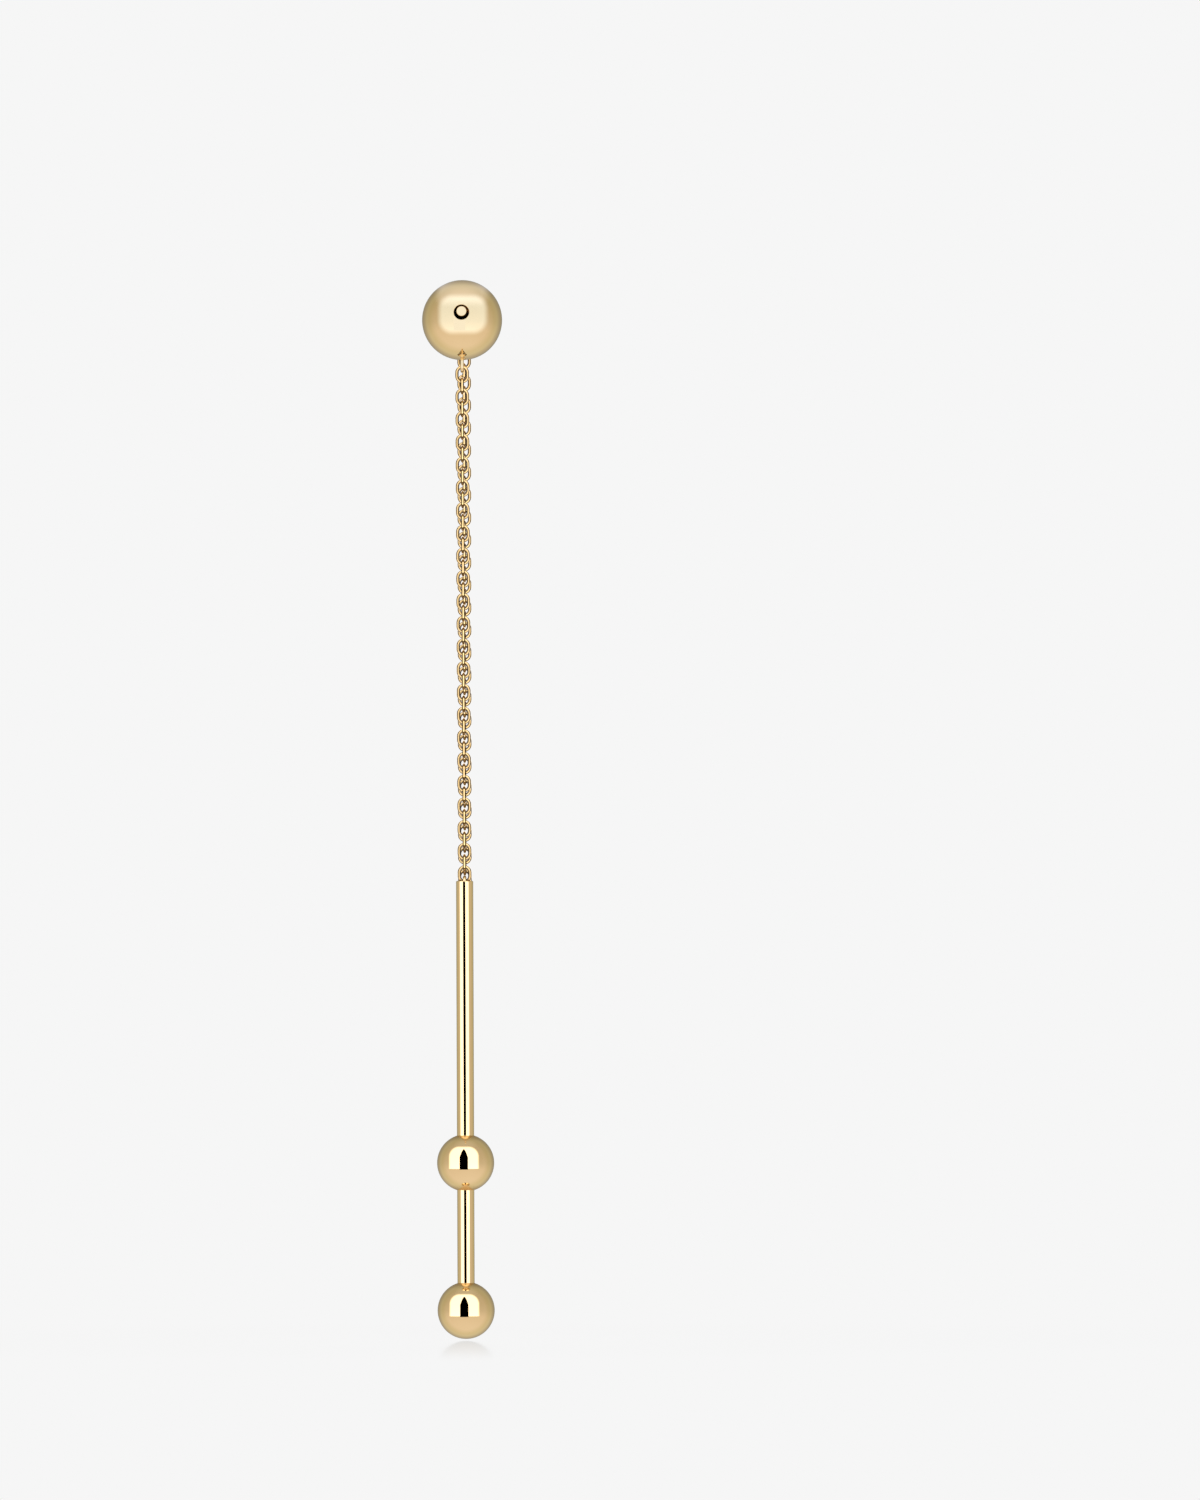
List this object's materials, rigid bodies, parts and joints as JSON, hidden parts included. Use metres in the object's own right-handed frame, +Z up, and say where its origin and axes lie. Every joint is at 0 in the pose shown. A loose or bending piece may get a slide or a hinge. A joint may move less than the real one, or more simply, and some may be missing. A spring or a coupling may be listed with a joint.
{
  "type": "dangle earring",
  "caption": "Front-and-back drop earring: a bored ball on an ear post, cable chains hanging before and behind the lobe, and a swinging tube that passes a ball and ends in another.",
  "frame": {"origin": "the middle of the ear lobe on the axis of the post, where the earring hangs", "axes": "+Z is up, -Y is towards the wearer's front and the viewer, +X is to the viewer's right"},
  "size_m": [0.007, 0.0136, 0.0927],
  "materials": {
    "polished_gold": "mirror polished yellow gold",
    "chain_gold": "polished yellow gold wire"
  },
  "bodies": {
    "hanger": {"front_ball": "polished_gold", "ear_post": "polished_gold", "front_chain": "chain_gold", "rear_chain": "chain_gold"},
    "drop": {"ball_bar": "polished_gold"}
  },
  "joints": [
    {"name": "bar_swing", "type": "hinge", "parent": "hanger", "child": "drop", "pos_m": [0, -0.00362, -0.04774], "axis": [0, 0.9636, -0.2672], "range_deg": [-45, 45]}
  ]
}
